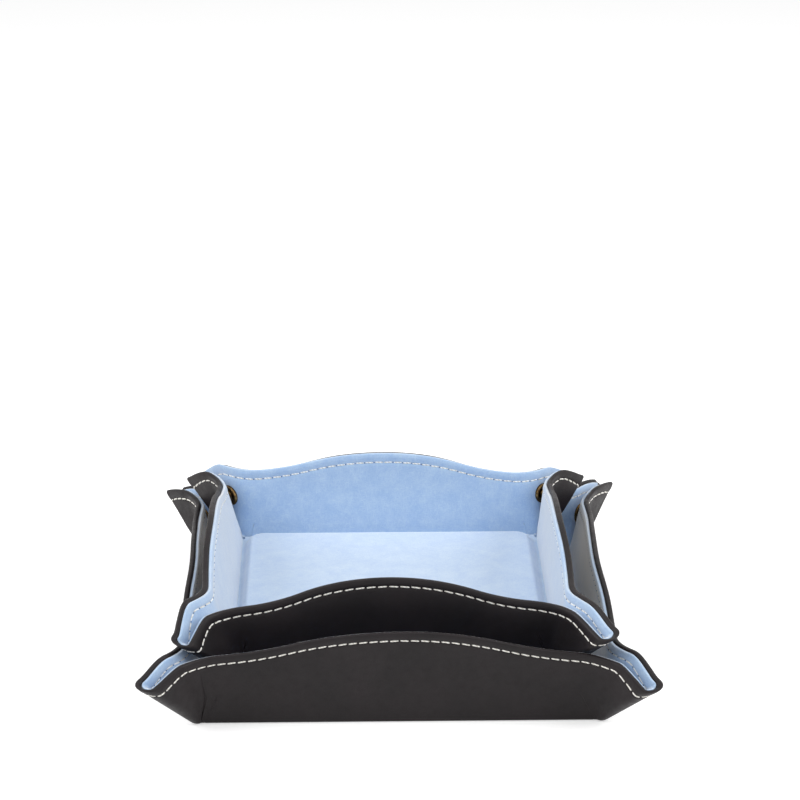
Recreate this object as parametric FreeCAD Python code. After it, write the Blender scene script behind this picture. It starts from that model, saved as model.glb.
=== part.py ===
# A nested pair of snap-corner valet trays.
# Each tray is a leather sheet with a felt lining. Its four walls stand up on creases round a stiffened
# base, and every corner of the sheet is pinched into an open ear that a press stud closes. The small
# tray hangs by its ears in the corners of the large one. Millimetres, +Z up, origin on the surface
# under the middle of the large tray.
import FreeCAD, Part
import math
import os

from FreeCAD import Vector

# Sheet, from outside to inside
leather = 2.2             # leather with its paper core
lining = 1.4              # felt
board = 1.0               # stiffener under the felt of the base
lining_setback = 0.8      # the felt's edge lies this far below the leather's edge

# Large tray
large_half_base = 88.0    # from the middle to the crease
large_lean = 8.5          # degrees that the walls lean out
large_rim_middle = 44.5   # wall height along its slope, at the middle
large_rim_end = 35.5      # at its ends
large_rim_end_from = 70.0  # from the wall's middle to where the rim levels out
large_ear_tip = 26.0      # height of the ears' tips above the base

# Small tray
nest_step = 15.0          # its base is smaller than the large one's by this, on each side
small_lean = 3.0
small_rim_middle = 45.5
small_rim_end = 33.0
small_rim_end_from = 59.0
small_ear_tip = 25.5
small_shift = -0.8        # the small tray lies off centre by this, along X

# Ears: spouts with two flat sides and a round end that leans out from the base corner
ear_half = 5.5            # half the outer width
ear_reach = 1.08          # outward run of the round end per height
ear_foot = 0.5            # height of the lower end above the base

# Base
board_inset = 10.0        # from the crease to the board
board_corner = 8.0        # corner radius of the board

# Press studs: axis across the pinch
snap_height = 23.0        # above the base
snap_in = 5.6             # from the crease to the axis
plate_radius = 5.2
plate = 0.7
flange_radius = 4.3
flange = 0.5
post_radius = 2.0
post_past = 1.4           # the post reaches past the middle of the pinch by this
barrel_radius = 3.6
barrel_past = 0.5         # and the socket's barrel by this

# Clearances
crease_gap = 0.15         # each side of a crease
spine_gap = 1.3           # each side of the ears' middle plane, which their halves swing towards
foot_gap = 0.3            # between the ears and the cut corners of the base
post_gap = 0.2            # round the post
plate_gap = 0.15          # round the plate, in the lining's hole
nest_gap = 0.15           # between the small tray's ears and the walls that they hang on

root2 = math.sqrt(2.0)
thick = leather + lining
up = Vector(0, 0, 1)
diagonal = Vector(-1, -1, 0) / root2      # out of the front left corner
across = Vector(1, -1, 0) / root2         # from the pinch's middle plane to the front wall's half
sides = ("front", "right", "back", "left")  # each a quarter turn on from the one before
corners = ("front_left", "front_right", "back_right", "back_left")


class Tray:
    """Planes and creases of one tray, at its front wall and front left corner."""

    def __init__(self, half_base, lean, rim_middle, rim_end, rim_end_from, ear_tip, place):
        self.half_base, self.rim_middle, self.rim_end = half_base, rim_middle, rim_end
        self.rim_end_from, self.ear_tip, self.place = rim_end_from, ear_tip, place
        lean = math.radians(lean)
        self.size = 4 * (half_base + rim_middle)                     # more than the tray's span
        self.corner = Vector(-half_base, -half_base, 0)
        self.heel = self.corner + (across - diagonal) * ear_half      # the crease's lower end
        self.crease = Vector(-math.tan(lean), -math.tan(lean), 1)
        self.slope = Vector(0, -math.sin(lean), math.cos(lean))       # up the wall
        self.wall_out = Vector(0, -math.cos(lean), -math.sin(lean))   # out of the leather's face
        bend = (math.pi / 2 + lean) / 2
        self.base_mitre = Vector(0, -math.sin(bend), math.cos(bend))  # from base to wall
        crease_rim = self.heel + self.crease * (rim_end * self.slope.z)
        self.ear_rim = (crease_rim - self.corner).dot(diagonal), crease_rim.z

    def end_plane(self, face):
        """Normal, towards the ear, of the plane through the crease that is square to this face."""
        normal = self.crease.cross(face).normalize()
        return normal if normal.dot(diagonal) > 0 else normal * -1

    def wall_point(self, run, height, depth):
        return Vector(run, -self.half_base, 0) + self.slope * height - self.wall_out * depth

    def ear_point(self, out, side, height):
        """By its run out from the corner, its distance from the pinch's middle plane and its height."""
        return self.corner + diagonal * out + across * side + up * height


def keep_side(shape, size, point, normal):
    """What lies on the side of a plane that its normal points to."""
    block = Part.makeBox(2 * size, 2 * size, size, Vector(-size, -size, 0))
    block.Placement = FreeCAD.Placement(point, FreeCAD.Rotation(up, normal))
    return shape.common(block)


def flip(vector):
    return Vector(-vector.x, vector.y, vector.z)


def lines(points):
    return [Part.makeLine(a, b) for a, b in zip(points, points[1:])]


def level_arc(start, end):
    """Middle point of an arc between flat points (run, height) that is level at its start."""
    run, rise = end[0] - start[0], end[1] - start[1]
    half_chord = math.hypot(run, rise) / 2
    climb = half_chord * math.tan(math.atan2(rise, abs(run)) / 2)
    return start[0] + math.copysign(half_chord, run), start[1] + climb


def wall_layer(tray, depth, layer, setback):
    """One layer of the front wall: creased at its foot and ends, with a rim that swells at the middle."""
    crown = (0, tray.rim_middle - setback)
    bend = (tray.rim_end_from / 2, (tray.rim_middle + tray.rim_end) / 2 - setback)
    level = (tray.rim_end_from, tray.rim_end - setback)
    past = (tray.half_base + thick, tray.rim_end - setback)
    foot = (past[0], -thick)
    edges = []
    for hand in (-1, 1):
        def place(flat):
            return tray.wall_point(hand * flat[0], flat[1], depth)
        edges.append(Part.Arc(place(crown), place(level_arc(crown, bend)), place(bend)).toShape())
        edges.append(Part.Arc(place(bend), place(level_arc(level, bend)), place(level)).toShape())
        edges += lines([place(level), place(past), place(foot), place((0, foot[1]))])
    layer = Part.Face(Part.Wire(Part.__sortEdges__(edges))).extrude(tray.wall_out * -layer)
    fold = Vector(0, -tray.half_base, 0) + tray.base_mitre * crease_gap
    layer = keep_side(layer, tray.size, fold, tray.base_mitre)
    end = tray.end_plane(tray.wall_out)
    line = tray.heel - end * crease_gap
    layer = keep_side(layer, tray.size, line, end * -1)
    return keep_side(layer, tray.size, flip(line), flip(end) * -1).Solids[0]


def spout(tray, depth):
    """The front half of the ear, filled, at this depth below its outer face."""
    width = ear_half - depth
    back = -2 * (ear_half + thick)
    wires = []
    for height in (ear_foot, tray.rim_middle):
        centre = ear_reach * height - ear_half
        points = [(centre + width, 0), (back, 0), (back, width), (centre, width)]
        points = [tray.ear_point(out, side, height) for out, side in points]
        bulge = tray.ear_point(centre + width / root2, width / root2, height)
        wires.append(Part.Wire(lines(points) + [Part.Arc(points[3], bulge, points[0]).toShape()]))
    return Part.makeLoft(wires, True, True)


def below_ear_rim(tray, setback):
    """What lies below the ear's rim, which is level at the crease and falls to the tip."""
    start = (tray.ear_rim[0], tray.ear_rim[1] - setback)
    tip = (ear_reach * tray.ear_tip, tray.ear_tip - setback)
    fall = level_arc(start, tip)
    back = -2 * (ear_half + thick)
    front = tip[0] + thick
    outline = [tip, (front, tip[1] - thick), (front, 0), (back, 0), (back, start[1]), start]
    points = [tray.ear_point(run, 0, height) for run, height in outline]
    arc = Part.Arc(points[-1], tray.ear_point(fall[0], 0, fall[1]), points[0]).toShape()
    return Part.Face(Part.Wire(lines(points) + [arc])).extrude(across * 2 * ear_half)


def ear_layers(tray):
    """Leather and felt of the front wall's half of the front left ear."""
    outer, between, inner = [spout(tray, depth) for depth in (0, leather, thick)]
    hole = snap_cylinder(tray, plate_radius + plate_gap, 0, ear_half - leather)
    felt = between.cut(inner).cut(hole)
    end = tray.end_plane(across)
    layers = []
    for layer, setback in ((outer.cut(between), 0), (felt, lining_setback)):
        layer = layer.common(below_ear_rim(tray, setback))
        layer = keep_side(layer, tray.size, tray.heel + end * crease_gap, end)
        layer = keep_side(layer, tray.size, tray.corner + across * spine_gap, across)
        layers.append(layer.Solids[0])
    return Part.makeCompound(layers)


def snap_cylinder(tray, radius, start, end):
    """A round piece on the press stud's axis, from start to end across the pinch."""
    crease = tray.heel + tray.crease * snap_height
    centre = crease + diagonal * snap_in + across * (start - ear_half)
    return Part.makeCylinder(radius, end - start, centre, across)


def stud(tray):
    """Back plate and stud, on the front wall's half of the ear."""
    back = ear_half - leather
    face = back - plate
    body = snap_cylinder(tray, flange_radius, face - flange, face)
    body = body.fuse(snap_cylinder(tray, post_radius, -post_past, face - flange)).removeSplitter()
    return Part.makeCompound([snap_cylinder(tray, plate_radius, face, back), body.Solids[0]])


def socket(tray):
    """Back plate and socket, on the left wall's half of the ear."""
    back = leather - ear_half
    face = back + plate
    body = snap_cylinder(tray, flange_radius, face, face + flange)
    body = body.fuse(snap_cylinder(tray, barrel_radius, face, barrel_past))
    body = body.cut(snap_cylinder(tray, post_radius + post_gap, face, barrel_past)).removeSplitter()
    return Part.makeCompound([snap_cylinder(tray, plate_radius, back, face), body.Solids[0]])


def rounded_block(half, radius, low, high):
    block = Part.makeBox(2 * half, 2 * half, high - low, Vector(-half, -half, low))
    uprights = [edge for edge in block.Edges if edge.BoundBox.ZLength > (high - low) / 2]
    return block.makeFillet(radius, uprights)


def base_layers(tray):
    """Leather, board, and felt drawn over the board."""
    top = leather + board
    sheet = Part.makeBox(tray.size, tray.size, leather, Vector(-tray.size / 2, -tray.size / 2, 0))
    stiffener = rounded_block(tray.half_base - board_inset, board_corner, leather, top)
    felt = Part.makeBox(tray.size, tray.size, lining, Vector(-tray.size / 2, -tray.size / 2, leather))
    cover_half = tray.half_base - board_inset + lining
    cover = rounded_block(cover_half, board_corner + lining, leather, top + lining)
    rounded = [edge for edge in cover.Edges if edge.BoundBox.ZMin > top]
    felt = felt.fuse(cover.makeFillet(lining / 2, rounded)).cut(stiffener).removeSplitter()
    cut_corner = ear_half + foot_gap
    for quarter in range(4):
        turn = FreeCAD.Rotation(up, 90 * quarter)
        inward = turn.multVec(tray.base_mitre * -1)
        fold = turn.multVec(Vector(0, -tray.half_base, 0)) + inward * crease_gap
        corner = turn.multVec(tray.corner - diagonal * cut_corner)
        corner_inward = turn.multVec(diagonal * -1)
        for point, normal in ((fold, inward), (corner, corner_inward)):
            sheet = keep_side(sheet, tray.size, point, normal)
            felt = keep_side(felt, tray.size, point, normal)
    return sheet.Solids[0], stiffener, felt.Solids[0]


def placed(shape, tray, quarter, mirrored=False):
    """A front piece, mirrored left to right if asked, turned to its side and moved to the tray's place."""
    copy = shape.mirror(Vector(0, 0, 0), Vector(1, 0, 0)) if mirrored else shape.copy()
    copy.rotate(Vector(0, 0, 0), up, 90 * quarter)
    copy.translate(tray.place)
    return copy


def save(node, shape):
    shape.exportStep(os.path.join("parts", node + ".step"))
    print(node, len(shape.Solids), "solids", round(shape.Volume), "mm3")


def build_tray(name, tray):
    for layer, shape in zip(("leather", "board", "lining"), base_layers(tray)):
        save(f"{name}_base_{layer}", placed(shape, tray, 0))
    wall_leather = wall_layer(tray, 0, leather, 0)
    wall_lining = wall_layer(tray, leather, lining, lining_setback)
    ear = ear_layers(tray)
    for quarter, side in enumerate(sides):
        before, after = sides[quarter - 1], sides[(quarter + 1) % 4]
        save(f"{name}_{side}_wall_leather", placed(wall_leather, tray, quarter))
        save(f"{name}_{side}_wall_lining", placed(wall_lining, tray, quarter))
        save(f"{name}_{side}_ear_at_{before}", placed(ear, tray, quarter))
        save(f"{name}_{side}_ear_at_{after}", placed(ear, tray, quarter, mirrored=True))
    for quarter, corner in enumerate(corners):
        mirrored = quarter % 2 == 1           # studs stay on the front and back walls
        turn = quarter - 1 if mirrored else quarter
        save(f"{name}_snap_stud_{corner}", placed(stud(tray), tray, turn, mirrored))
        save(f"{name}_snap_socket_{corner}", placed(socket(tray), tray, turn, mirrored))


def hanging_height(outer, half_base, shift):
    """Height of a tray's base when its ears' round sides meet the top of the outer tray's felt."""
    edge = outer.wall_point(0, outer.rim_end - lining_setback, thick)
    room = -edge.y - half_base - abs(shift) - nest_gap - ear_half
    return edge.z - (root2 * room + ear_half) / ear_reach


large = Tray(
    large_half_base, large_lean, large_rim_middle, large_rim_end, large_rim_end_from, large_ear_tip,
    Vector(0, 0, 0),
)
small_half_base = large_half_base - nest_step
small_seat = hanging_height(large, small_half_base, small_shift)
small = Tray(
    small_half_base, small_lean, small_rim_middle, small_rim_end, small_rim_end_from, small_ear_tip,
    Vector(small_shift, 0, small_seat),
)
os.makedirs("parts", exist_ok=True)
print("the small tray's base hangs at", round(small_seat, 2), "mm")
build_tray("large", large)
build_tray("small", small)
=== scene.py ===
# Nested pair of snap-corner valet trays: black leather outside, blue felt inside, white stitching.
# All shapes are worked out in millimetres at the front left corner of a tray, then turned to the other
# corners, moved to the tray's place in the frame and written in metres.
import math

import bmesh
import bpy
import numpy as np
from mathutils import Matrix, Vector


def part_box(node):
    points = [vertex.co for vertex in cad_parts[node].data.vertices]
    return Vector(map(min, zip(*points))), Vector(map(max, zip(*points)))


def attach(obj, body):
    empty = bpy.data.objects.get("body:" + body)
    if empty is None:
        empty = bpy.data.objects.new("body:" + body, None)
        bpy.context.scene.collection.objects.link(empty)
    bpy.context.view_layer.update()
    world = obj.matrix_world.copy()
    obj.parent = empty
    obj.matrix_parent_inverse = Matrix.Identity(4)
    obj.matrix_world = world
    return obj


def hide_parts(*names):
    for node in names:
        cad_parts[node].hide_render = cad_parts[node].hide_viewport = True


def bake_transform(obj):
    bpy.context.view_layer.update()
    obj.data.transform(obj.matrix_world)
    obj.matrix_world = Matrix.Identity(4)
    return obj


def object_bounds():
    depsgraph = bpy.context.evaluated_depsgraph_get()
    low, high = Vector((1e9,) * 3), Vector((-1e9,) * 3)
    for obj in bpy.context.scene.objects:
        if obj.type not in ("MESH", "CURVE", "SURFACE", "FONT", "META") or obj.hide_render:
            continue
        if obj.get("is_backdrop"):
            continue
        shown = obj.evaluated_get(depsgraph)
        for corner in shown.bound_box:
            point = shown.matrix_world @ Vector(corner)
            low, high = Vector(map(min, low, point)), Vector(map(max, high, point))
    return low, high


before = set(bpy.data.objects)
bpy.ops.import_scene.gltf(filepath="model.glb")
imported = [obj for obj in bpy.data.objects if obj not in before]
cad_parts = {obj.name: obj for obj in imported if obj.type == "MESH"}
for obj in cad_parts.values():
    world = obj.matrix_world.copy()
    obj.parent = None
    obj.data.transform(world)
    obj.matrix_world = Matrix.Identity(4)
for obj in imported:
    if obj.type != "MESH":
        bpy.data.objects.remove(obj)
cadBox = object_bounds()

mm = 0.001
root2 = math.sqrt(2.0)
eighthTurn = math.pi / 4
sides = ("front", "right", "back", "left")      # each a quarter turn on from the one before
corners = ("front_left", "front_right", "back_right", "back_left")


def hexColour(text):
    channels = [int(text[i:i + 2], 16) / 255 for i in (1, 3, 5)]
    linear = [c / 12.92 if c <= 0.04045 else ((c + 0.055) / 1.055) ** 2.4 for c in channels]
    return (*linear, 1.0)


# settings: inputs or attributes; links: input to output; stops: position and hex colour along a ramp
def addNode(tree, kind, settings=(), links=(), stops=()):
    node = tree.nodes.new(kind)
    for key, value in dict(settings).items():
        if isinstance(key, int) or key in node.inputs:
            node.inputs[key].default_value = value
        else:
            setattr(node, key, value)
    for key, output in dict(links).items():
        tree.links.new(output, node.inputs[key])
    if stops:
        elements = node.color_ramp.elements
        while len(elements) < len(stops):
            elements.new(0.5)
        for element, (position, colour) in zip(elements, stops):
            element.position = position
            element.color = hexColour(colour)
    return node


def newMaterial(name):
    material = bpy.data.materials.new(name)
    material.use_nodes = True
    tree = material.node_tree
    tree.nodes.clear()
    return material, tree


# Pigmented cowhide, plated smooth: near black and warm, a soft shine broken by pores and fine wrinkles
cowhide = dict(
    deep="#130e10", worn="#1d1719",
    grainCell=0.75, wrinkle=3.2, cloud=22.0,         # mm
    grainDepth=0.035, wrinkleDepth=0.05,             # mm
    furrow=0.22,                                     # share of a grain cell, from its furrow to its top
    roughLow=0.40, roughHigh=0.58, ior=1.5, specular=0.25,
)


def makeCowhide():
    material, tree = newMaterial("plated_cowhide")
    place = {"Vector": addNode(tree, "ShaderNodeTexCoord").outputs["Object"]}
    cells = addNode(
        tree, "ShaderNodeTexVoronoi",
        {"feature": "DISTANCE_TO_EDGE", "Scale": 1 / (cowhide["grainCell"] * mm)}, place)
    wrinkles = addNode(
        tree, "ShaderNodeTexNoise",
        {"Scale": 1 / (cowhide["wrinkle"] * mm), "Detail": 6.0, "Roughness": 0.6}, place)
    clouds = addNode(
        tree, "ShaderNodeTexNoise", {"Scale": 1 / (cowhide["cloud"] * mm), "Detail": 3.0}, place)
    pores = addNode(
        tree, "ShaderNodeMapRange", {"From Max": cowhide["furrow"]}, {"Value": cells.outputs["Distance"]})
    colour = addNode(
        tree, "ShaderNodeValToRGB", links={"Fac": clouds.outputs["Fac"]},
        stops=[(0.35, cowhide["deep"]), (0.7, cowhide["worn"])])
    rough = addNode(
        tree, "ShaderNodeMapRange",
        {"From Min": 0.3, "From Max": 0.7, "To Min": cowhide["roughLow"], "To Max": cowhide["roughHigh"]},
        {"Value": wrinkles.outputs["Fac"]})
    grain = addNode(
        tree, "ShaderNodeBump", {"Strength": 0.7, "Distance": cowhide["grainDepth"] * mm},
        {"Height": pores.outputs["Result"]})
    skin = addNode(
        tree, "ShaderNodeBump", {"Strength": 0.8, "Distance": cowhide["wrinkleDepth"] * mm},
        {"Height": wrinkles.outputs["Fac"], "Normal": grain.outputs["Normal"]})
    shader = addNode(
        tree, "ShaderNodeBsdfPrincipled", {"IOR": cowhide["ior"], "Specular IOR Level": cowhide["specular"]},
        {"Base Color": colour.outputs["Color"], "Roughness": rough.outputs["Result"],
         "Normal": skin.outputs["Normal"]})
    addNode(tree, "ShaderNodeOutputMaterial", links={"Surface": shader.outputs["BSDF"]})
    return material


# Pressed wool felt, dyed light blue: matt, with a pale nap of crossed fibres and faint mottling
woolFelt = dict(
    pale="#bfd4e9", mid="#afc9e5", deep="#9cbbe0",
    fibre=0.40, tuft=2.2, mottle=7.0,                # mm; fibres drawn coarser than real ones so they show
    fibreStretch=5.0,                                # times their width
    fibreDepth=0.10, tuftDepth=0.12,                 # mm
    roughness=0.95, specular=0.15,
    napTip="#fff8ee", sheen=1.0, sheenRoughness=0.6,      # the fibres' ends catch the light
)


def makeWoolFelt():
    material, tree = newMaterial("pressed_wool_felt")
    place = {"Vector": addNode(tree, "ShaderNodeTexCoord").outputs["Object"]}
    drawn = woolFelt["fibreStretch"]
    lays = []
    for turn, stretch in ((0.5, (1, drawn, 1)), (-0.9, (drawn, 1, 1.6)), (0.2, (1.4, 1.2, drawn))):
        turned = addNode(
            tree, "ShaderNodeMapping",
            {"Rotation": (turn, turn * 0.7, turn), "Scale": [1 / s for s in stretch]}, place)
        lay = addNode(
            tree, "ShaderNodeTexNoise",
            {"Scale": 1 / (woolFelt["fibre"] * mm), "Detail": 3.0, "Roughness": 0.65},
            {"Vector": turned.outputs["Vector"]})
        lays.append(lay.outputs["Fac"])
    crossed = addNode(tree, "ShaderNodeMath", {"operation": "MAXIMUM"}, {0: lays[0], 1: lays[1]})
    nap = addNode(
        tree, "ShaderNodeMath", {"operation": "MAXIMUM"}, {0: crossed.outputs["Value"], 1: lays[2]})
    tufts = addNode(tree, "ShaderNodeTexNoise", {"Scale": 1 / (woolFelt["tuft"] * mm), "Detail": 4.0}, place)
    mottle = addNode(
        tree, "ShaderNodeTexNoise",
        {"Scale": 1 / (woolFelt["mottle"] * mm), "Detail": 5.0, "Roughness": 0.6}, place)
    faint = addNode(tree, "ShaderNodeMath", {"operation": "MULTIPLY", 1: 0.5}, {0: mottle.outputs["Fac"]})
    tone = addNode(
        tree, "ShaderNodeMath", {"operation": "ADD"}, {0: nap.outputs["Value"], 1: faint.outputs["Value"]})
    shade = addNode(
        tree, "ShaderNodeMapRange", {"From Min": 0.65, "From Max": 1.1}, {"Value": tone.outputs["Value"]})
    colour = addNode(
        tree, "ShaderNodeValToRGB", links={"Fac": shade.outputs["Result"]},
        stops=[(0.1, woolFelt["deep"]), (0.5, woolFelt["mid"]), (0.9, woolFelt["pale"])])
    fibres = addNode(
        tree, "ShaderNodeBump", {"Strength": 0.6, "Distance": woolFelt["fibreDepth"] * mm},
        {"Height": nap.outputs["Value"]})
    relief = addNode(
        tree, "ShaderNodeBump", {"Strength": 0.6, "Distance": woolFelt["tuftDepth"] * mm},
        {"Height": tufts.outputs["Fac"], "Normal": fibres.outputs["Normal"]})
    shader = addNode(
        tree, "ShaderNodeBsdfPrincipled",
        {"Roughness": woolFelt["roughness"], "Specular IOR Level": woolFelt["specular"],
         "Sheen Weight": woolFelt["sheen"], "Sheen Roughness": woolFelt["sheenRoughness"],
         "Sheen Tint": hexColour(woolFelt["napTip"])},
        {"Base Color": colour.outputs["Color"], "Normal": relief.outputs["Normal"]})
    addNode(tree, "ShaderNodeOutputMaterial", links={"Surface": shader.outputs["BSDF"]})
    return material


# Waxed polyester thread, twisted from three plies: off-white, with a faint slanting twist
waxedThread = dict(light="#fdfbf5", dark="#dedacf", twist=0.55, twistDepth=0.05, roughness=0.55)      # mm


def makeWaxedThread():
    material, tree = newMaterial("waxed_twisted_thread")
    place = {"Vector": addNode(tree, "ShaderNodeTexCoord").outputs["Object"]}
    turned = addNode(tree, "ShaderNodeMapping", {"Rotation": (0.6, 0.5, 0.7)}, place)
    plies = addNode(
        tree, "ShaderNodeTexWave", {"Scale": 1 / (waxedThread["twist"] * mm) / math.tau, "Distortion": 0.8},
        {"Vector": turned.outputs["Vector"]})
    colour = addNode(
        tree, "ShaderNodeValToRGB", links={"Fac": plies.outputs["Fac"]},
        stops=[(0.1, waxedThread["dark"]), (0.6, waxedThread["light"])])
    twist = addNode(
        tree, "ShaderNodeBump", {"Strength": 0.7, "Distance": waxedThread["twistDepth"] * mm},
        {"Height": plies.outputs["Fac"]})
    shader = addNode(
        tree, "ShaderNodeBsdfPrincipled", {"Roughness": waxedThread["roughness"]},
        {"Base Color": colour.outputs["Color"], "Normal": twist.outputs["Normal"]})
    addNode(tree, "ShaderNodeOutputMaterial", links={"Surface": shader.outputs["BSDF"]})
    return material


# Painted shade of the needle holes in the felt: deep blue discs laid on the felt, a little uneven
needleHoleShade = dict(dark="#4a628c", soft="#5f79a4", cloud=1.5, roughness=0.95, specular=0.1)      # mm


def makeNeedleHoleShade():
    material, tree = newMaterial("painted_needle_hole_shade")
    place = {"Vector": addNode(tree, "ShaderNodeTexCoord").outputs["Object"]}
    clouds = addNode(tree, "ShaderNodeTexNoise", {"Scale": 1 / (needleHoleShade["cloud"] * mm)}, place)
    colour = addNode(
        tree, "ShaderNodeValToRGB", links={"Fac": clouds.outputs["Fac"]},
        stops=[(0.3, needleHoleShade["dark"]), (0.7, needleHoleShade["soft"])])
    shader = addNode(
        tree, "ShaderNodeBsdfPrincipled",
        {"Roughness": needleHoleShade["roughness"], "Specular IOR Level": needleHoleShade["specular"]},
        {"Base Color": colour.outputs["Color"]})
    addNode(tree, "ShaderNodeOutputMaterial", links={"Surface": shader.outputs["BSDF"]})
    return material


# Stamped brass with an antique dip: brown bronze with worn bright spots
antiqueBrass = dict(
    dark="#3a2c1d", mid="#6d5636", bright="#b89a63",
    wear=1.8, scratch=0.25, scratchDepth=0.02,       # mm
    roughLow=0.22, roughHigh=0.5,
)


def makeAntiqueBrass():
    material, tree = newMaterial("antique_brass")
    place = {"Vector": addNode(tree, "ShaderNodeTexCoord").outputs["Object"]}
    wear = addNode(
        tree, "ShaderNodeTexNoise", {"Scale": 1 / (antiqueBrass["wear"] * mm), "Detail": 5.0}, place)
    fine = addNode(
        tree, "ShaderNodeTexNoise", {"Scale": 1 / (antiqueBrass["scratch"] * mm), "Detail": 2.0}, place)
    colour = addNode(
        tree, "ShaderNodeValToRGB", links={"Fac": wear.outputs["Fac"]},
        stops=[(0.35, antiqueBrass["dark"]), (0.55, antiqueBrass["mid"]), (0.8, antiqueBrass["bright"])])
    rough = addNode(
        tree, "ShaderNodeMapRange",
        {"To Min": antiqueBrass["roughLow"], "To Max": antiqueBrass["roughHigh"]},
        {"Value": fine.outputs["Fac"]})
    bump = addNode(
        tree, "ShaderNodeBump", {"Strength": 0.3, "Distance": antiqueBrass["scratchDepth"] * mm},
        {"Height": fine.outputs["Fac"]})
    shader = addNode(
        tree, "ShaderNodeBsdfPrincipled", {"Metallic": 1.0},
        {"Base Color": colour.outputs["Color"], "Roughness": rough.outputs["Result"],
         "Normal": bump.outputs["Normal"]})
    addNode(tree, "ShaderNodeOutputMaterial", links={"Surface": shader.outputs["BSDF"]})
    return material


# Rolled grey board of waste paper: dull, flecked
greyBoard = dict(base="#8b8780", fleck="#6a665f", fleckSize=0.8, roughness=0.9)      # mm


def makeGreyBoard():
    material, tree = newMaterial("rolled_grey_board")
    place = {"Vector": addNode(tree, "ShaderNodeTexCoord").outputs["Object"]}
    flecks = addNode(
        tree, "ShaderNodeTexNoise", {"Scale": 1 / (greyBoard["fleckSize"] * mm), "Detail": 4.0}, place)
    colour = addNode(
        tree, "ShaderNodeValToRGB", links={"Fac": flecks.outputs["Fac"]},
        stops=[(0.35, greyBoard["fleck"]), (0.6, greyBoard["base"])])
    shader = addNode(
        tree, "ShaderNodeBsdfPrincipled", {"Roughness": greyBoard["roughness"]},
        {"Base Color": colour.outputs["Color"]})
    addNode(tree, "ShaderNodeOutputMaterial", links={"Surface": shader.outputs["BSDF"]})
    return material


leatherFinish = makeCowhide()
feltFinish = makeWoolFelt()
threadFinish = makeWaxedThread()
holeShadeFinish = makeNeedleHoleShade()
brassFinish = makeAntiqueBrass()
boardFinish = makeGreyBoard()
print("materials made")


# The sheet that both trays are cut from, mm
sheet = dict(
    leather=2.2, felt=1.4,
    setback=0.85,                                    # felt edge below leather edge
    bend=1.4, innerBend=0.3,                         # radius of the bend at the base, outside and felt
    wallFoot=9.0,                                    # height where the bend strip ends
    margin=4.3,                                      # from the base crease to the edge of the flat panel
    puff=0.22, puffAt=2.0, puffWide=1.1,             # padded band between edge and stitching
    groove=0.3, grooveWide=0.45,                     # the thread pulls the sheet in
)
sheet["thick"] = sheet["leather"] + sheet["felt"]

# The two layers of the sheet. near and far: depth from the outside; rounding and edgePuff: of the cut edge;
# seam: stitching below the rim; grooved: whether its outer and its inner face show the stitching
layers = {
    "leather": dict(
        near=0.0, far=sheet["leather"], rounding=0.7, edgePuff=0.055, seam=4.0, grooved=(1, 0),
        finish=leatherFinish, slot="black_leather", node="leather",
    ),
    "felt": dict(
        near=sheet["leather"], far=sheet["thick"], rounding=0.45, edgePuff=0.0, seam=4.5, grooved=(0, 1),
        finish=feltFinish, slot="blue_felt", node="lining",
    ),
}

# Values for each wall are in the order of sides, those for each corner in the order of corners. A pair as
# a key is a wall's number and its left (-1) or right (1) half, seen from outside. Lengths in mm
trays = {
    "large": dict(
        halfBase=88.0, lean=8.5, rimMiddle=44.5, rimEnd=34.0, rimEndFrom=90.0, earTip=26.0,
        bow=(0.3, -4.5, 0.3, -3.0),                        # outward at the rim's middle, each wall
        seed=1.0,                                          # of the walls' and the floor's unevenness
        splay=0.012, taper=0.0, sway=0.0, shift=0.0,       # see toFrame
        rimRise=(1.5, 0.0, 0.0, 0.0),                      # of the rim's middle, each wall
        endDrop={},                                        # of the rim at the ends of half walls
        tipDrop=(-1.5, 1.0, -5.0, -4.0),                   # of the ears' tips, each corner
        tipRound=(0.5, 0.5, 3.5, 3.5),                     # rounded off at the tips, each corner
        proud=(0.0, 0.0, 0.0, 0.0),                        # felt edge above the leather's, ends of each wall
        lobe={                                             # rise of the ears' sides
            (0, -1): -0.5, (3, 1): 0.5, (0, 1): -1.0, (1, -1): 1.0, (3, -1): 1.2, (1, 1): 1.2,
        },
        earTurn=((0.0, 0.03), (0.0, 0.13), (0.22, -0.06), (0.05, -0.10)),      # see toFrame, each corner
        pinch={(0, -1): 0.5},                              # depth of a sharp fold line in a crease
    ),
    "small": dict(
        halfBase=73.0, lean=3.0, rimMiddle=45.5, rimEnd=33.0, rimEndFrom=68.0, earTip=25.5,
        bow=(0.3, -2.5, 0.5, -2.5),
        seed=4.0,
        splay=0.088, taper=0.30, sway=3.5, shift=-0.5,     # it sits a little to the left
        rimRise=(0.0, 0.0, -1.0, 0.0),
        endDrop={(0, -1): 1.5, (3, 1): -1.0, (2, -1): -1.0, (2, 1): -3.2, (1, 1): -1.0, (3, -1): -1.5},
        tipDrop=(3.2, -2.0, -1.5, -2.0),
        tipRound=(0.5, 0.5, 3.0, 3.5),
        proud=(0.0, 0.0, 0.75, 0.0),
        lobe={
            (0, -1): -0.6, (3, 1): 1.2, (0, 1): -0.8, (1, -1): 0.8, (2, 1): 0.6, (3, -1): 1.0, (1, 1): 1.0,
        },
        earTurn=((0.10, -0.07), (0.26, -0.02), (0.0, -0.10), (0.0, -0.13)),
        pinch={},
    ),
}
for name, tray in trays.items():
    low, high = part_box(name + "_base_leather")
    tray["place"] = np.array([(low[0] + high[0]) / 2, (low[1] + high[1]) / 2, low[2]])
    tray["slope"] = math.tan(math.radians(tray["lean"]))
    tray["cos"] = math.cos(math.radians(tray["lean"]))
    tray["sin"] = math.sin(math.radians(tray["lean"]))

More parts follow.
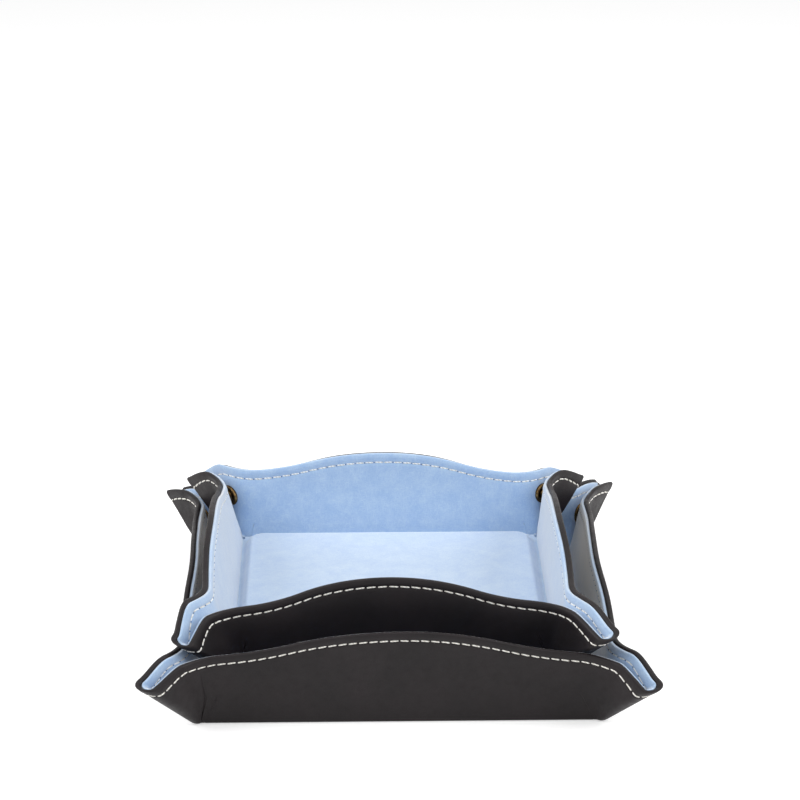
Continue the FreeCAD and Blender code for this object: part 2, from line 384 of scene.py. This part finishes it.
# Ears, mm; roundFrom and narrowFrom are places along, see wallPoint
ear = dict(
    half=5.5, footHalf=2.4, fullAt=16.0,                 # half the outer width, full at a height
    narrow=0.4, narrowFrom=2.1, narrowFullAt=22.0,       # what the tip loses of it, full at a height
    least=0.08,                                          # half the space left in a closed pinch
    reach=1.08, foot=0.3,                                # outward per height, and height of the lower edge
    creaseRadius=0.7,                                    # per height
    lip=0.9, lipFrom=20.0, lipTo=34.0,                   # the pinch opens towards its rim, between heights
    levelRun=7.6, levelEnd=2.4,                          # level stretches of the rim, at the crease and tip
    roundFrom=2.5,
    turnEase=4.0,                                        # an ear turns softly over this length
    blendReach=8.0,                                      # reach each side of a crease of the points that creaseSpan finds
)
foldLine = dict(wide=0.06, fullAt=4.0, goneAt=30.0, fade=8.0)      # share of the crease, then heights in mm
waves = dict(                                            # unevenness of the walls
    high=0.22,                                           # mm
    long=0.047, short=0.11,                              # radians per mm
    longStep=1.7, shortStep=2.3,                         # radians from wall to wall
)


def smooth(t):
    t = np.clip(t, 0.0, 1.0)
    return t * t * (3 - 2 * t)


def earHalfAt(z):
    opened = ear["lip"] * smooth((z - ear["lipFrom"]) / (ear["lipTo"] - ear["lipFrom"]))
    return ear["footHalf"] + (ear["half"] - ear["footHalf"]) * smooth(z / ear["fullAt"]) + opened


# A point of half a wall and its ear. along: 0 to 1 wall, to 2 crease, to 3 ear side, to 4 round end
def wallPoint(tray, along, z, depth, quarter, hand):
    bend = sheet["bend"]
    depth = depth + bend - np.sqrt(bend ** 2 - np.clip(bend - z, 0, bend) ** 2)      # the foot is drawn in
    pinch = tray["pinch"].get((quarter, hand), 0.0) * np.exp(-((along - 1.5) / foldLine["wide"]) ** 2)
    pinch = pinch * smooth(z / foldLine["fullAt"]) * smooth((foldLine["goneAt"] - z) / foldLine["fade"])
    depth = depth + pinch
    radius = ear["creaseRadius"] * z + depth
    wall = tray["halfBase"] + z * tray["slope"] - depth / tray["cos"]
    half = np.maximum(earHalfAt(z) - depth, ear["least"])
    towardsTip = smooth((along - ear["narrowFrom"]) / (3 - ear["narrowFrom"]))
    narrow = np.minimum(ear["narrow"] * towardsTip * smooth(z / ear["narrowFullAt"]), half - ear["least"])
    run = np.clip(along, 0, 1)
    turn = np.clip(along - 1, 0, 1) * eighthTurn
    side = np.clip(along - 2, 0, 1)
    roll = np.clip(along - 3, 0, 1) * math.pi / 2
    x = run * (-wall + root2 * half + radius * math.tan(eighthTurn / 2))
    wobble = np.sin(x * hand * waves["long"] + tray["seed"] + waves["longStep"] * quarter)
    wobble = wobble + np.sin(x * hand * waves["short"] + waves["shortStep"] * quarter)
    fade = np.cos(run * math.pi / 2) ** 2
    lift = np.clip((z - sheet["wallFoot"]) / (tray["rimMiddle"] - sheet["wallFoot"]), 0, 1.1)
    y = -wall - tray["bow"][quarter] * lift * fade - waves["high"] * wobble * lift * (1 - run ** 4)
    x = x - radius * np.sin(turn)
    y = y - radius * (1 - np.cos(turn))
    bent = ear["creaseRadius"] * z * math.tan(eighthTurn / 2)
    straight = np.maximum((ear["reach"] - root2 * tray["slope"]) * z - bent, 0)
    ahead = side * (straight + narrow) + (half - narrow) * np.sin(roll)
    aside = -narrow - (half - narrow) * (1 - np.cos(roll))
    x = x + (aside - ahead) / root2
    y = y - (aside + ahead) / root2
    return np.stack(np.broadcast_arrays(x, y, z + 0 * x), axis=-1)


# Height of the rim over each column: swelling at the middle, level at the crease, falling to the tip
def rimHeights(tray, along, quarter, hand):
    corner = (quarter + (hand > 0)) % 4
    rimEnd = tray["rimEnd"] - tray["endDrop"].get((quarter, hand), 0.0)
    rimMiddle = tray["rimMiddle"] + tray["rimRise"][quarter]
    earTip = tray["earTip"] - tray["tipDrop"][corner]
    creaseTop = rimEnd * tray["cos"]
    creaseOut = root2 * (tray["halfBase"] + creaseTop * tray["slope"]) - ear["half"]
    tipOut = root2 * tray["halfBase"] + ear["reach"] * earTip
    fallFrom, fallTo = creaseOut + ear["levelRun"], tipOut - ear["levelEnd"]
    lobe = tray["lobe"].get((quarter, hand), 0.0) * smooth(along - 1) * (1 - smooth(along - 3))
    lobe = lobe - tray["tipRound"][corner] * smooth((along - ear["roundFrom"]) / (4 - ear["roundFrom"]))
    half = tray["rimEndFrom"] / 2
    drop = (rimMiddle - rimEnd) / 2
    ogee = (half ** 2 + drop ** 2) / (2 * drop)          # radius of both arcs of the swell
    z = np.full(len(along), creaseTop)
    for _ in range(8):                                   # height and place settle together
        points = wallPoint(tray, along, z, 0.0, quarter, hand)
        run = np.abs(points[:, 0])
        crown = rimMiddle - (ogee - np.sqrt(np.maximum(ogee ** 2 - run ** 2, 0)))
        level = np.clip(tray["rimEndFrom"] - run, 0, None)
        saddle = rimEnd + (ogee - np.sqrt(np.maximum(ogee ** 2 - level ** 2, 0)))
        onWall = np.where(run < half, crown, saddle) * tray["cos"]
        out = -(points[:, 0] + points[:, 1]) / root2
        onEar = (earTip - creaseTop) * smooth((out - fallFrom) / (fallTo - fallFrom)) + lobe
        z = onWall + np.where(along <= 1, 0.0, onEar)
    return z


bendEnd = 0.985              # share of the wall's run that stands on the bend strip
columns = np.concatenate([   # along, closer together at the bend strip's end and the crease's fold line
    np.linspace(0, bendEnd, 41), [bendEnd + 0.001, 1.0],
    np.linspace(1, 1.42, 7)[1:], np.linspace(1.44, 1.56, 9), np.linspace(1.58, 2, 7),
    np.linspace(2, 3, 15)[1:], np.linspace(3, 4, 15)[1:],
])
seamDrops = [0.7, 1.2, 1.8, 2.5, 3.0, 3.5, 3.8, 4.0, 4.2, 4.5, 5.0, 6.0, 7.5, 10.0]      # below the edge, mm
footShares = [0.2, 0.4, 0.6, 0.8, 0.92, 0.955, 0.975, 0.988, 1.0]      # of the way on down to the foot


def bandDepth(drop, seamAt):                         # puffed band above the seam, groove at the seam
    puff = -sheet["puff"] * np.exp(-((drop - sheet["puffAt"]) / sheet["puffWide"]) ** 2)
    return puff + sheet["groove"] * np.exp(-((drop - seamAt) / sheet["grooveWide"]) ** 2)


# Drop of each layer's edge below the rim. Where the felt is proud it covers the leather's edge, half as
# much at the wall's middle as at its ends, and the round end leads back to the usual setback
cover = dict(middle=0.5, growFrom=0.35, growOver=0.4)


def edgeDrops(tray, quarter):
    proud = tray["proud"][quarter]
    share = 1 - smooth(columns - 3)
    grown = smooth((columns - cover["growFrom"]) / cover["growOver"])
    covered = share * (cover["middle"] + (1 - cover["middle"]) * grown)
    return {"leather": proud * covered, "felt": sheet["setback"] * (1 - share * (proud > 0))}


# Grid of loops: one closed section of the layer at each column
def layerLoops(tray, layer, edgeDrop, quarter, hand):
    near, far = layer["near"], layer["far"]
    outer, inner = layer["grooved"]
    rim = rimHeights(tray, columns, quarter, hand) - edgeDrop
    seamAt = layer["seam"] - edgeDrop
    lowered = np.where(columns > bendEnd, 1.0, 0.0)
    loops = []

    def addRow(drop, share, depth):
        foot = (sheet["wallFoot"] + depth * tray["sin"]) * (1 - lowered) + ear["foot"] * lowered
        z = rim - drop
        z = z + (foot - z) * share
        loops.append(wallPoint(tray, columns, z, depth, quarter, hand))

    for share in reversed(footShares):
        addRow(seamDrops[-1], share, near)
    for drop in reversed(seamDrops):
        addRow(drop, 0.0, near + outer * bandDepth(drop, seamAt))
    for angle in np.linspace(0, math.pi, 9)[1:-1]:
        depth = (near + far) / 2 - (far - near) / 2 * math.cos(angle) - layer["edgePuff"] * math.sin(angle)
        addRow(layer["rounding"] * (1 - math.sin(angle)), 0.0, depth)
    for drop in seamDrops:
        addRow(drop, 0.0, far - inner * bandDepth(drop, seamAt))
    for share in footShares:
        addRow(seamDrops[-1], share, far)
    return np.stack(loops, axis=1)


# Mirrors to the right end if hand is 1, turns to the side and moves to the tray's place, in metres.
# On the way the ears turn past their creases (earTurn: to the front or back, and out), the walls spread
# to both sides with their height (splay, more at the front by taper), sway to the left with their height,
# and everything shifts sideways
def toFrame(points, tray, quarter, hand):
    points = np.array(points, dtype=float)
    if hand > 0:
        points = points * np.array([-1.0, 1.0, 1.0])
    for _ in range(quarter):
        points = np.stack([-points[..., 1], points[..., 0], points[..., 2]], axis=-1)
    signX, signY = np.sign(points[..., 0]), np.sign(points[..., 1])
    corner = np.where(signY < 0, np.where(signX < 0, 0, 1), np.where(signX < 0, 3, 2))
    out = (np.abs(points[..., 0]) + np.abs(points[..., 1])) / root2
    past = np.maximum(out - root2 * (tray["halfBase"] + points[..., 2] * tray["slope"]) + ear["half"], 0)
    eased = past ** 2 / (past + ear["turnEase"]) / root2
    across, along = np.moveaxis(np.array(tray["earTurn"])[corner], -1, 0)
    points[..., 0] += eased * signX * (along - across)
    points[..., 1] += eased * signY * (along + across)
    height = points[..., 2] / tray["rimMiddle"]
    splay = tray["splay"] * (1 - tray["taper"] * points[..., 1] / tray["halfBase"])
    points[..., 0] += height * (splay * points[..., 0] - tray["sway"])
    points[..., 0] += tray["shift"]
    return points * mm + tray["place"]


def makeObject(name, points, faces, materials, faceMaterials=None, sharpAngle=48):
    mesh = bpy.data.meshes.new(name)
    mesh.from_pydata([tuple(p) for p in points.reshape(-1, 3)], [], faces)
    work = bmesh.new()
    work.from_mesh(mesh)
    bmesh.ops.recalc_face_normals(work, faces=work.faces)
    work.to_mesh(mesh)
    work.free()
    for material in materials:
        mesh.materials.append(material)
    if faceMaterials is not None:
        mesh.polygons.foreach_set("material_index", faceMaterials)
    mesh.shade_smooth()
    mesh.set_sharp_from_angle(angle=math.radians(sharpAngle))
    piece = bpy.data.objects.new(name, mesh)
    bpy.context.scene.collection.objects.link(piece)
    return piece


def sweepFaces(rows, ring, first=0):                 # closed tube of rings with both ends capped
    faces = []
    for row in range(rows - 1):
        low, high = first + row * ring, first + (row + 1) * ring
        for j in range(ring):
            k = (j + 1) % ring
            faces.append((low + j, low + k, high + k, high + j))
    faces.append(tuple(first + j for j in reversed(range(ring))))
    faces.append(tuple(first + (rows - 1) * ring + j for j in range(ring)))
    return faces


# Stitching: raised dashes along a seam, and on the felt a disc of painted shade for the needle hole between
# each two, mm
stitch = dict(
    pitch=4.2, dash=3.5, wide=0.44, high=0.44, slant=0.12,
    lift=0.13, dip=0.12,                             # middle of a dash above the groove, its ends below
    blunt=5, end=0.12,                               # how late a dash tapers, and what is left at its ends
    rings=7, around=8,
    hole=0.24, holeShadeRings=((-0.3, 1.0), (0.03, 1.0), (0.06, 0.5)),      # level and share of the radius
    probe=0.5,                                       # step down the wall that shows which way it faces
)
stitchTurns = np.linspace(0, math.tau, stitch["around"], endpoint=False)


def unit(vectors):
    return vectors / (np.linalg.norm(vectors, axis=1)[:, None] + 1e-12)


def seamPath(tray, drop, depth, quarter, hand):      # distances, points, tangents and normals
    fine = np.linspace(0, 4, 801)
    z = rimHeights(tray, fine, quarter, hand) - drop
    points = wallPoint(tray, fine, z, depth, quarter, hand)
    below = wallPoint(tray, fine, z - stitch["probe"], depth, quarter, hand)
    tangents = unit(np.gradient(points, axis=0))
    normals = unit(np.cross(tangents, points - below))
    steps = np.linalg.norm(np.diff(points, axis=0), axis=1)
    return np.concatenate([[0], np.cumsum(steps)]), points, tangents, normals


def seamPlace(path, distance, facing):               # point, tangent, normal and direction across the seam
    distances, *tracks = path
    point, tangent, normal = [
        np.array([np.interp(distance, distances, track[:, axis]) for axis in range(3)]) for track in tracks
    ]
    normal = normal * facing
    return point, tangent, normal, np.cross(tangent, normal)


def dashRings(path, middle, facing):
    rings = []
    for t in np.linspace(-1, 1, stitch["rings"]):
        point, tangent, normal, across = seamPlace(path, middle + t * stitch["dash"] / 2, facing)
        size = max(1 - abs(t) ** stitch["blunt"], stitch["end"]) ** 0.5
        lift = stitch["lift"] * (1 - t * t) - stitch["dip"] * t * t
        rings.append([
            point + across * (math.cos(angle) * stitch["wide"] * size + t * stitch["slant"])
            + normal * (math.sin(angle) * stitch["high"] * size + lift) for angle in stitchTurns
        ])
    return rings


# A needle hole is drawn as a dark disc of painted shade, a little proud of the felt's face
def holeShadeRings(path, distance, facing):
    point, tangent, normal, across = seamPlace(path, distance, facing)
    spokes = [tangent * math.cos(angle) + across * math.sin(angle) for angle in stitchTurns]
    return [
        [point + spoke * stitch["hole"] * share + normal * level for spoke in spokes]
        for level, share in stitch["holeShadeRings"]
    ]


def seamMesh(tray, quarter, hand):
    points, faces, faceMaterials = [], [], []

    def addTube(rings, material):
        tube = sweepFaces(len(rings), stitch["around"], len(points))
        faces.extend(tube)
        faceMaterials.extend([material] * len(tube))
        for ring in rings:
            points.extend(ring)

    for layerName, layer in layers.items():
        outer = layerName == "leather"
        depth = layer["near"] + sheet["groove"] if outer else layer["far"] - sheet["groove"]
        facing = 1 if outer else -1
        path = seamPath(tray, layer["seam"], depth, quarter, hand)
        length = path[0][-1]
        count = int(length / stitch["pitch"])
        pitch = length / count
        for k in range(count):
            addTube(dashRings(path, (k + 0.5) * pitch, facing), 0)
            # between two dashes on the felt: a disc of painted needle-hole shade
            if k > 0 and not outer:
                addTube(holeShadeRings(path, k * pitch, facing), 1)
    return np.array(points), faces, faceMaterials


def creaseSpan(tray, quarter, hand):                 # points each side of the ear's crease, in the wall
    heel = np.array([-tray["halfBase"] + root2 * ear["half"], -tray["halfBase"], 0.0])
    square = np.array([1.0, 0.0, tray["slope"]]) / math.hypot(1.0, tray["slope"])
    step = square * ear["blendReach"]
    ends = toFrame(np.stack([heel + step, heel - step]), tray, quarter, hand)
    return tuple(ends[0]), tuple(ends[1])


# Half a wall with its ear half: leather, felt and stitching, bent where the ear turns out of the wall
def makeHalfWall(name, tray, quarter, hand):
    side, other = sides[quarter], sides[(quarter + hand) % 4]
    earNode = f"{name}_{side}_ear_at_{other}"
    start, end = creaseSpan(tray, quarter, hand)
    drops = edgeDrops(tray, quarter)
    for layerName, layer in layers.items():
        loops = layerLoops(tray, layer, drops[layerName], quarter, hand)
        points = toFrame(loops, tray, quarter, hand)
        faces = sweepFaces(*points.shape[:2])
        piece = makeObject(f"{name}_{side}_{other}_{layerName}", points, faces, [layer["finish"]])
        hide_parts(f"{name}_{side}_wall_{layer['node']}", earNode)
        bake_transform(piece)
    points, faces, faceMaterials = seamMesh(tray, quarter, hand)
    points = toFrame(points, tray, quarter, hand)
    finishes = [threadFinish, holeShadeFinish]
    piece = makeObject(f"{name}_{side}_{other}_stitching", points, faces, finishes, faceMaterials)
    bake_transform(piece)


# Bend between base and wall, one strip of leather and one of felt on each side
def makeBend(name, tray, quarter):
    side = sides[quarter]
    halfBase = tray["halfBase"]
    runs = np.linspace(-1, 1, 55)
    turns = np.linspace(0, math.pi / 2 - math.radians(tray["lean"]), 9)

    def section(depth):                              # y and z, from the flat panel up to the wall's foot
        radius = max(sheet["bend"] - depth, sheet["innerBend"])
        centre = depth + radius
        middle = -halfBase + centre * (1 - tray["sin"]) / tray["cos"]
        rows = [(-halfBase + sheet["margin"], depth)]
        rows += [(middle - radius * math.sin(a), centre - radius * math.cos(a)) for a in turns]
        top = sheet["wallFoot"] + depth * tray["sin"]
        return rows + [(-halfBase - top * tray["slope"] + depth / tray["cos"], top)]

    for layerName, layer in layers.items():
        near, far = layer["near"], layer["far"]
        rows = [(y, z, near) for y, z in section(near)]
        rows += [(y, z, far) for y, z in reversed(section(far))]
        reach = [-wallPoint(tray, bendEnd, z, depth, quarter, -1)[0] for y, z, depth in rows]
        points = [[(run * half, y, z) for (y, z, depth), half in zip(rows, reach)] for run in runs]
        points = toFrame(points, tray, quarter, -1)
        faces = sweepFaces(*points.shape[:2])
        piece = makeObject(f"{name}_{side}_bend_{layerName}", points, faces, [layer["finish"]])
        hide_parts(f"{name}_{side}_wall_{layer['node']}")
        start = np.array([0.0, sheet["margin"] - halfBase, far])
        top = np.array([0.0, *section(far)[-1]])
        slanted = np.array([0.0, -1.0, 1.0]) / root2
        ends = toFrame([start, start + slanted * np.dot(top - start, slanted)], tray, quarter, -1)
        ends[1, quarter % 2] = ends[0, quarter % 2]      # square to the wall
        start, end = ends
        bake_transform(piece)


# Flat panel of the base: leather below, felt above, padded over the board, mm
floorPad = dict(
    rise=3.6, riseOver=4.5, cornerRadius=10.0,
    sag=0.25, sagFrom=15.0, sagAcross=0.035, sagDeep=0.041, sagStart=0.6,      # waves, then radians per mm
    edgeBand=10.0,                                   # closer grid along the edge
    gussetInset=1.0, gussetGap=0.3,                  # corner pieces, short of crease and ear
)


def panelFaces(count):                               # closed sheet between two square grids of points
    size, last = count * count, count - 1
    faces = []
    for i in range(last):
        for j in range(last):
            quad = (i * count + j, i * count + j + 1, (i + 1) * count + j + 1, (i + 1) * count + j)
            faces += [quad, tuple(size + v for v in reversed(quad))]
    edge = [(i, 0) for i in range(count)] + [(last, j) for j in range(1, count)]
    edge += [(i, last) for i in range(last - 1, -1, -1)] + [(0, j) for j in range(last - 1, 0, -1)]
    edge = [i * count + j for i, j in edge]
    return faces + [(a, b, b + size, a + size) for a, b in zip(edge, edge[1:] + edge[:1])]


def gussetOutline(tray):                             # between the flat panel and the ear's foot
    half = tray["halfBase"] - sheet["margin"]
    tip = tray["halfBase"] - floorPad["gussetInset"]
    cut = root2 * tray["halfBase"] - ear["footHalf"] - floorPad["gussetGap"]
    short = tip - root2 * cut
    return [(-half, -half), (-half, -tip), (short, -tip), (-tip, short), (-tip, -half)]


def makeBase(name, tray):
    half, band = tray["halfBase"] - sheet["margin"], floorPad["edgeBand"]
    ticks = np.concatenate([
        np.linspace(-half, -half + band, 15), np.linspace(-half + band, half - band, 41)[1:-1],
        np.linspace(half - band, half, 15),
    ])
    across, deep = np.meshgrid(ticks, ticks, indexing="ij")
    radius = floorPad["cornerRadius"]
    overX = np.maximum(np.abs(across) - half + radius, 0)
    overY = np.maximum(np.abs(deep) - half + radius, 0)
    inside = radius - np.hypot(overX, overY)
    inside = np.minimum(inside, half - np.maximum(np.abs(across), np.abs(deep)))
    pad = floorPad["rise"] * smooth(inside / floorPad["riseOver"])
    ripple = np.sin(across * floorPad["sagAcross"] + tray["seed"])
    ripple = ripple * np.sin(deep * floorPad["sagDeep"] + floorPad["sagStart"])
    pad = pad + floorPad["sag"] * ripple * smooth(inside / floorPad["sagFrom"])
    gusset = gussetOutline(tray)
    for layerName, layer in layers.items():
        levels = (layer["near"], layer["far"])
        top = layer["far"] + (pad if layerName == "felt" else 0 * pad)
        grids = (np.full_like(across, layer["near"]), top)
        points = [np.stack([across, deep, z], axis=-1).reshape(-1, 3) for z in grids]
        faces = panelFaces(len(ticks))
        first = 2 * len(ticks) ** 2
        for quarter in range(4):
            turned = np.array(gusset)
            for _ in range(quarter):
                turned = np.stack([-turned[:, 1], turned[:, 0]], axis=-1)
            points += [np.column_stack([turned, np.full(len(gusset), z)]) for z in levels]
            faces += sweepFaces(2, len(gusset), first)
            first += 2 * len(gusset)
        points = toFrame(np.concatenate(points), tray, 0, -1)
        piece = makeObject(f"{name}_base_panel_{layerName}", points, faces, [layer["finish"]])
        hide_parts(f"{name}_base_{layer['node']}")
        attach(piece, f"{name}_base")


# Press studs, turned round the axis across the pinch: radius and distance from the pinch's middle, mm
snap = dict(
    height={"large": (20.0, 20.0), "small": (20.0, 22.4)},      # at the front and back corners
    deeper={"large": (2.0, 3.0), "small": (1.5, 0.0)},          # out into the ear
    ring=[
        (0.0, 3.1), (4.4, 3.1), (4.75, 2.8), (4.9, 2.2),
        (4.85, 1.6), (4.65, 1.2), (4.35, 1.05), (4.05, 1.15),
    ],
    stud=[(3.8, 1.5), (2.1, 1.5), (1.95, 1.35), (1.9, -0.7), (1.7, -1.2), (1.2, -1.45), (0.0, -1.5)],
    socket=[
        (3.7, 1.1), (3.6, 0.5), (3.4, 0.15), (3.0, 0.05),
        (2.5, 0.1), (2.2, 0.35), (2.2, 1.6), (0.0, 1.6),
    ],
    least=0.02, around=40,                                      # radius left open on the axis
)


def makeSnap(name, tray, corner):
    frontOrBack, leftOrRight = corner.split("_")
    row = 0 if frontOrBack == "front" else 1
    quarter = 2 * row
    hand = -1 if corner in ("front_left", "back_right") else 1
    height = snap["height"][name][row]
    middle = -tray["halfBase"] - tray["slope"] * height
    diagonal, across, upward = np.array([[-1, -1, 0], [1, -1, 0], [0, 0, root2]]) / root2
    centre = np.array([middle, middle, height]) + diagonal * snap["deeper"][name][row]
    turns = np.linspace(0, math.tau, snap["around"], endpoint=False)
    spokes = [diagonal * math.cos(a) + upward * math.sin(a) for a in turns]
    halves = (("stud", 1, frontOrBack, leftOrRight), ("socket", -1, leftOrRight, frontOrBack))
    for kind, facing, side, other in halves:
        points = [
            [centre + across * facing * place + spoke * max(radius, snap["least"]) for spoke in spokes]
            for radius, place in snap["ring"] + snap[kind]
        ]
        points = toFrame(points, tray, quarter, hand)
        faces = sweepFaces(*points.shape[:2])
        piece = makeObject(f"{name}_press_{kind}_{corner}", points, faces, [brassFinish], sharpAngle=70)
        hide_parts(f"{name}_snap_{kind}_{corner}")
        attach(piece, f"{name}_{side}_{other}_ear_half")


for name, tray in trays.items():
    makeBase(name, tray)
    for quarter in range(4):
        makeBend(name, tray, quarter)
        for hand in (-1, 1):
            makeHalfWall(name, tray, quarter, hand)
    for corner in corners:
        makeSnap(name, tray, corner)
    print(name, "tray made")


# The boards are carried over from the frame
for nodeName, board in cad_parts.items():
    if nodeName.endswith("_board"):
        board.data.materials.clear()
        board.data.materials.append(boardFinish)
print("boards finished")


# Pale floor and plain studio light; lengths in metres
stage = dict(floorHalf=3.0, floorColour="#f4f4f4", floorGlow=0.42, ambient=0.42)


def seenDirectly(tree):                              # 1 on camera, mirror and see-through rays
    path = addNode(tree, "ShaderNodeLightPath")
    seen = addNode(
        tree, "ShaderNodeMath", {"operation": "ADD"},
        {0: path.outputs["Is Camera Ray"], 1: path.outputs["Is Glossy Ray"]})
    seen = addNode(
        tree, "ShaderNodeMath", {"operation": "ADD", "use_clamp": True},
        {0: seen.outputs["Value"], 1: path.outputs["Is Transmission Ray"]})
    return seen.outputs["Value"]


def makeFloor():
    half = stage["floorHalf"]
    outline = [(-half, -half, 0), (half, -half, 0), (half, half, 0), (-half, half, 0)]
    mesh = bpy.data.meshes.new("floor")
    mesh.from_pydata(outline, [], [(0, 1, 2, 3)])
    floor = bpy.data.objects.new("floor", mesh)
    bpy.context.scene.collection.objects.link(floor)
    material, tree = newMaterial("white_paper_floor")
    glow = addNode(
        tree, "ShaderNodeMath", {"operation": "MULTIPLY", 1: stage["floorGlow"]}, {0: seenDirectly(tree)})
    paper = addNode(tree, "ShaderNodeBsdfDiffuse", {"Color": hexColour(stage["floorColour"])})
    light = addNode(tree, "ShaderNodeEmission", links={"Strength": glow.outputs["Value"]})
    both = addNode(
        tree, "ShaderNodeAddShader", links={0: paper.outputs["BSDF"], 1: light.outputs["Emission"]})
    addNode(tree, "ShaderNodeOutputMaterial", links={"Surface": both.outputs["Shader"]})
    mesh.materials.append(material)
    floor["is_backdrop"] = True


def makeWorld():
    world = bpy.data.worlds.new("studio")
    world.use_nodes = True
    tree = world.node_tree
    tree.nodes.clear()
    strength = addNode(
        tree, "ShaderNodeMapRange", {"To Min": stage["ambient"], "To Max": 1.0},
        {"Value": seenDirectly(tree)})
    backdrop = addNode(
        tree, "ShaderNodeBackground", {"Color": (1, 1, 1, 1)}, {"Strength": strength.outputs["Result"]})
    addNode(tree, "ShaderNodeOutputWorld", links={"Surface": backdrop.outputs["Background"]})
    bpy.context.scene.world = world


lamps = {                                            # metres and watts
    "top_softbox": dict(size=1.0, power=3.0, place=(0.0, 0.0, 1.1)),
    "left_softbox": dict(size=0.8, power=9.4, place=(-1.0, -0.2, 0.75)),
    "right_softbox": dict(size=0.8, power=9.4, place=(1.0, -0.2, 0.75)),
    "front_softbox": dict(size=0.8, power=0.8, place=(0.0, -1.3, 0.9)),
}
lampAim = Vector((0, 0, 0.03))


def makeLamps():
    for name, softbox in lamps.items():
        light = bpy.data.lights.new(name, "AREA")
        light.shape = "SQUARE"
        light.size = softbox["size"]
        light.energy = softbox["power"]
        lamp = bpy.data.objects.new(name, light)
        lamp.location = softbox["place"]
        lamp.rotation_euler = (lampAim - lamp.location).to_track_quat("-Z", "Y").to_euler()
        bpy.context.scene.collection.objects.link(lamp)


camera = dict(
    distance=1.297, lookAt=(0.002, 0.0, 0.1149), clipStart=0.05,      # metres
    elevation=20.51, azimuth=-1.1,                                    # degrees
    lens=131.4, sensor=36.0,                                          # mm
)


def makeCamera():
    lens = bpy.data.cameras.new("camera")
    lens.lens = camera["lens"]
    lens.sensor_width = camera["sensor"]
    lens.clip_start = camera["clipStart"]
    viewer = bpy.data.objects.new("camera", lens)
    up, turn = math.radians(camera["elevation"]), math.radians(camera["azimuth"])
    away = Vector((math.sin(turn) * math.cos(up), -math.cos(turn) * math.cos(up), math.sin(up)))
    viewer.location = Vector(camera["lookAt"]) + away * camera["distance"]
    viewer.rotation_euler = (-away).to_track_quat("-Z", "Y").to_euler()
    bpy.context.scene.collection.objects.link(viewer)
    bpy.context.scene.camera = viewer


makeFloor()
makeWorld()
makeLamps()
makeCamera()
bpy.context.scene.view_settings.view_transform = "Standard"
print("stage set")

sizeBoxes = {"cad": cadBox, "visual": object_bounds()}
sizeBoxes = {key: [[float(v) for v in corner] for corner in box] for key, box in sizeBoxes.items()}
